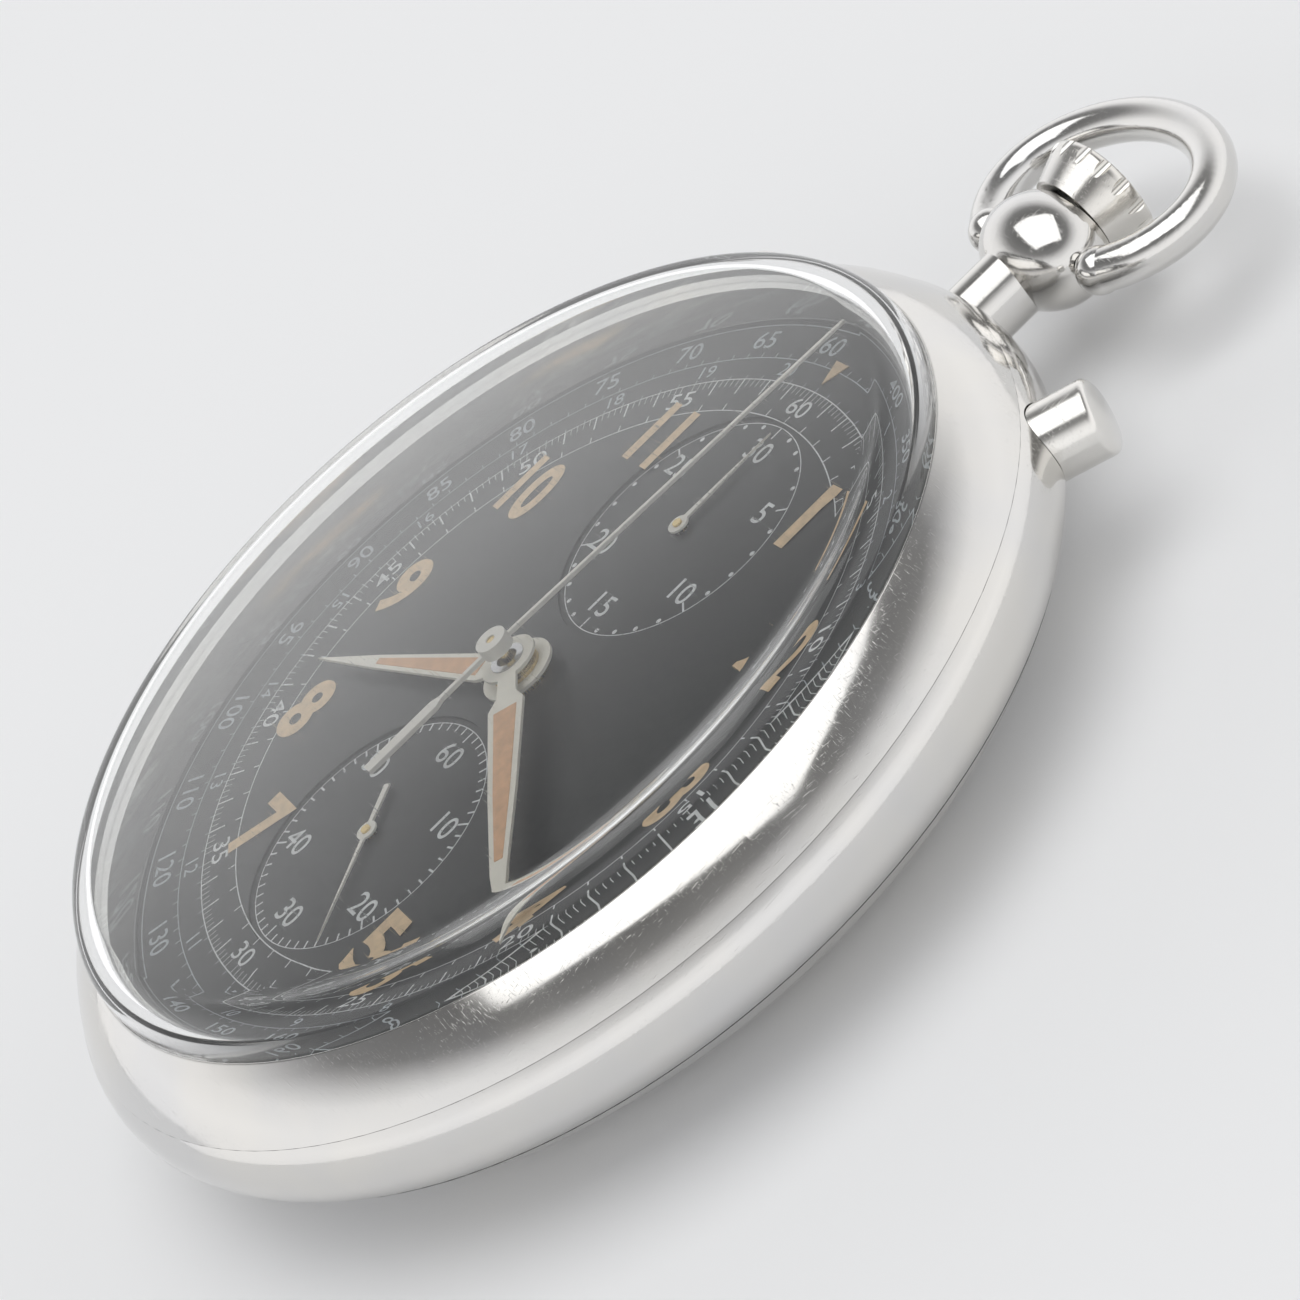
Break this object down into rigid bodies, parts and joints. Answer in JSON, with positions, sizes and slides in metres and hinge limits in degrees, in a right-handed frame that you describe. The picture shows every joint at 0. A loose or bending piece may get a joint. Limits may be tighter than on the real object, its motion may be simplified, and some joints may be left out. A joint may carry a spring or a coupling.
{
  "type": "pocket chronograph watch",
  "caption": "Two-button pocket chronograph with round steel case, domed crystal, black dial, ridged crown and oval bow, with its going train and chronograph work inside",
  "frame": {"origin": "centre of the flat on the back cover, on the watch's axis", "axes": "+Z out through the dial and crystal, +Y to 12 o'clock (pendant, crown and bow), +X to 3 o'clock"},
  "size_m": [0.05, 0.0637, 0.0135],
  "materials": {
    "case": "polished steel with fine scratches and small dents",
    "bow": "polished steel",
    "crown": "polished steel, fluted",
    "buttons": "polished steel, flat worn faces",
    "crystal": "clear domed acrylic crystal",
    "dial": "matt black lacquer, off-white printing and aged luminous figures",
    "hand_cream": "cream-edged hand with aged luminous filling",
    "hand_steel": "polished steel hand",
    "hand_white": "off-white hand",
    "plate": "nickel-plated, grained",
    "jewel": "synthetic ruby",
    "screw": "polished steel screws",
    "brass": "gilt brass wheels",
    "steel": "hardened steel",
    "spring": "spring steel",
    "balance": "gilt balance",
    "seal": "rubber ring"
  },
  "bodies": {
    "body": {"back_cover": "case", "case_band": "case", "bezel": "case", "crystal": "crystal", "pendant": "case", "dial": "dial", "mainplate": "plate", "barrel_bridge": "plate", "train_bridge": "plate", "balance_cock": "plate", "pallet_bridge": "plate", "chronograph_bridge": "plate", "jewels": "jewel", "bridge_screws": "screw", "pallet_bridge_screw": "screw", "case_screws": "screw", "hairspring": "spring", "start_stop_spring": "spring", "reset_spring": "spring"},
    "bow_body": {"bow": "bow"},
    "seal_body": {"crown_seal": "seal"},
    "crown_body": {"crown": "crown", "winding_stem": "steel"},
    "sliding_body": {"sliding_pinion": "steel"},
    "winding_body": {"winding_pinion": "steel"},
    "crown_wheel_body": {"crown_wheel": "steel"},
    "between_body": {"intermediate_winding_wheel": "steel"},
    "ratchet_body": {"ratchet_wheel": "steel", "barrel_arbor": "steel"},
    "click_body": {"click": "steel"},
    "barrel_body": {"barrel": "brass", "barrel_cover": "steel", "mainspring": "spring"},
    "centre_body": {"centre_wheel": "brass", "cannon_pinion": "steel", "minute_hand": "hand_cream"},
    "hour_body": {"hour_wheel": "brass", "hour_hand": "hand_cream"},
    "minute_body": {"minute_wheel": "brass"},
    "third_body": {"third_wheel": "brass"},
    "seconds_body": {"fourth_wheel": "brass", "chronograph_driving_wheel": "brass", "running_seconds_hand": "hand_white"},
    "escape_body": {"escape_wheel": "steel"},
    "pallet_body": {"pallet_fork": "steel"},
    "balance_body": {"balance_wheel": "balance"},
    "chrono_body": {"chronograph_runner": "brass", "chronograph_hand": "hand_steel"},
    "counter_body": {"minute_recorder": "brass", "minute_counter_hand": "hand_white"},
    "transfer_body": {"minute_transfer_wheel": "brass"},
    "coupling_lever_body": {"coupling_lever": "steel"},
    "coupling_wheel_body": {"coupling_wheel": "brass"},
    "column_body": {"column_wheel": "steel"},
    "start_body": {"start_stop_button": "buttons"},
    "reset_body": {"reset_button": "buttons"},
    "operating_body": {"operating_lever": "steel"},
    "hammer_body": {"reset_hammer": "steel"}
  },
  "joints": [
    {"name": "bow_swing", "type": "hinge", "parent": "body", "child": "bow_body", "pos_m": [0, 0.0295, 0.0048], "axis": [1, 0, 0], "range_deg": [-100, 100]},
    {"name": "crown_pull", "type": "slide", "parent": "body", "child": "seal_body", "axis": [0, 1, 0], "range_m": [0, 0.0008]},
    {"name": "crown_turn", "type": "hinge", "parent": "seal_body", "child": "crown_body", "pos_m": [0, 0, 0.0048], "axis": [0, 1, 0], "continuous": true},
    {"name": "sliding_pinion_shift", "type": "slide", "parent": "crown_body", "child": "sliding_body", "axis": [0, 1, 0], "range_m": [-0.0021, 0]},
    {"name": "winding_pinion_turn", "type": "hinge", "parent": "body", "child": "winding_body", "pos_m": [0, 0, 0.0048], "axis": [0, 1, 0], "continuous": true},
    {"name": "crown_wheel_turn", "type": "hinge", "parent": "body", "child": "crown_wheel_body", "pos_m": [0, 0.014, 0], "axis": [0, 0, 1], "continuous": true},
    {"name": "intermediate_wheel_turn", "type": "hinge", "parent": "body", "child": "between_body", "pos_m": [0.0056, 0.01111, 0], "axis": [0, 0, 1], "continuous": true},
    {"name": "ratchet_turn", "type": "hinge", "parent": "body", "child": "ratchet_body", "pos_m": [0.00775, 0.00361, 0], "axis": [0, 0, 1], "continuous": true},
    {"name": "click_swing", "type": "hinge", "parent": "body", "child": "click_body", "pos_m": [0.0128, -0.00063, 0], "axis": [0, 0, 1], "range_deg": [-8, 0], "stiffness_Nm_per_rad": 0.0001},
    {"name": "seconds_turn", "type": "hinge", "parent": "body", "child": "seconds_body", "pos_m": [0, -0.00925, 0], "axis": [0, 0, 1], "continuous": true},
    {"name": "third_wheel_turn", "type": "hinge", "parent": "body", "child": "third_body", "pos_m": [-0.00292, -0.00507, 0], "axis": [0, 0, 1], "continuous": true},
    {"name": "centre_wheel_turn", "type": "hinge", "parent": "body", "child": "centre_body", "pos_m": [0, 0, 0], "axis": [0, 0, 1], "continuous": true},
    {"name": "hour_wheel_turn", "type": "hinge", "parent": "body", "child": "hour_body", "pos_m": [0, 0, 0], "axis": [0, 0, 1], "continuous": true},
    {"name": "minute_wheel_turn", "type": "hinge", "parent": "body", "child": "minute_body", "pos_m": [0.00299, 0.00234, 0], "axis": [0, 0, 1], "continuous": true},
    {"name": "barrel_turn", "type": "hinge", "parent": "body", "child": "barrel_body", "pos_m": [0.00775, 0.00361, 0], "axis": [0, 0, 1], "continuous": true},
    {"name": "escape_wheel_turn", "type": "hinge", "parent": "body", "child": "escape_body", "pos_m": [0.00308, -0.01239, 0], "axis": [0, 0, 1], "continuous": true},
    {"name": "pallet_fork_swing", "type": "hinge", "parent": "body", "child": "pallet_body", "pos_m": [0.00587, -0.01214, 0], "axis": [0, 0, 1], "range_deg": [-5, 5]},
    {"name": "balance_swing", "type": "hinge", "parent": "body", "child": "balance_body", "pos_m": [0.0085, -0.0119, 0], "axis": [0, 0, 1], "range_deg": [-150, 150], "stiffness_Nm_per_rad": 0.00000029, "deforming": ["hairspring"]},
    {"name": "chronograph_turn", "type": "hinge", "parent": "body", "child": "chrono_body", "pos_m": [0, 0, 0], "axis": [0, 0, 1], "continuous": true},
    {"name": "minute_counter_turn", "type": "hinge", "parent": "body", "child": "counter_body", "pos_m": [0, 0.00925, 0], "axis": [0, 0, 1], "continuous": true},
    {"name": "transfer_wheel_turn", "type": "hinge", "parent": "body", "child": "transfer_body", "pos_m": [0.00119, 0.00543, 0], "axis": [0, 0, 1], "continuous": true},
    {"name": "coupling_lever_swing", "type": "hinge", "parent": "body", "child": "coupling_lever_body", "pos_m": [0, -0.00925, 0], "axis": [0, 0, 1], "range_deg": [-4, 0]},
    {"name": "coupling_wheel_turn", "type": "hinge", "parent": "coupling_lever_body", "child": "coupling_wheel_body", "pos_m": [-0.00128, -0.00504, 0], "axis": [0, 0, 1], "continuous": true},
    {"name": "column_wheel_turn", "type": "hinge", "parent": "body", "child": "column_body", "pos_m": [-0.009, 0.009, 0], "axis": [0, 0, 1], "continuous": true},
    {"name": "start_stop_press", "type": "slide", "parent": "body", "child": "start_body", "axis": [0.5373, -0.8434, 0], "range_m": [0, 0.0008], "stiffness_N_per_m": 2500, "springref_m": -0.0006, "deforming": ["start_stop_spring"]},
    {"name": "reset_press", "type": "slide", "parent": "body", "child": "reset_body", "axis": [-0.5373, -0.8434, 0], "range_m": [0, 0.0008], "stiffness_N_per_m": 2500, "springref_m": -0.0006, "deforming": ["reset_spring"]},
    {"name": "operating_lever_swing", "type": "hinge", "parent": "body", "child": "operating_body", "pos_m": [-0.0145, 0.0065, 0], "axis": [0, 0, 1], "range_deg": [-5.4, 0]},
    {"name": "reset_hammer_swing", "type": "hinge", "parent": "body", "child": "hammer_body", "pos_m": [0.0145, 0.0065, 0], "axis": [0, 0, 1], "range_deg": [0, 5.4]}
  ],
  "couplings": [
    {"joint": "sliding_pinion_shift", "follows": "crown_pull", "ratio": -2.625},
    {"joint": "winding_pinion_turn", "follows": "crown_turn", "ratio": 1},
    {"joint": "crown_wheel_turn", "follows": "crown_turn", "ratio": 0.5},
    {"joint": "intermediate_wheel_turn", "follows": "crown_turn", "ratio": -0.625},
    {"joint": "ratchet_turn", "follows": "crown_turn", "ratio": 0.35},
    {"joint": "third_wheel_turn", "follows": "seconds_turn", "ratio": -0.13333},
    {"joint": "centre_wheel_turn", "follows": "seconds_turn", "ratio": 0.016667},
    {"joint": "hour_wheel_turn", "follows": "seconds_turn", "ratio": 0.0013889},
    {"joint": "minute_wheel_turn", "follows": "seconds_turn", "ratio": -0.0055556},
    {"joint": "barrel_turn", "follows": "seconds_turn", "ratio": -0.0020833},
    {"joint": "escape_wheel_turn", "follows": "seconds_turn", "ratio": -10},
    {"joint": "coupling_wheel_turn", "follows": "seconds_turn", "ratio": -1.8947},
    {"joint": "minute_counter_turn", "follows": "chronograph_turn", "ratio": 0.033333},
    {"joint": "transfer_wheel_turn", "follows": "chronograph_turn", "ratio": -0.061905},
    {"joint": "operating_lever_swing", "follows": "start_stop_press", "rad_per_m": -114.43},
    {"joint": "reset_hammer_swing", "follows": "reset_press", "rad_per_m": 114.43}
  ]
}
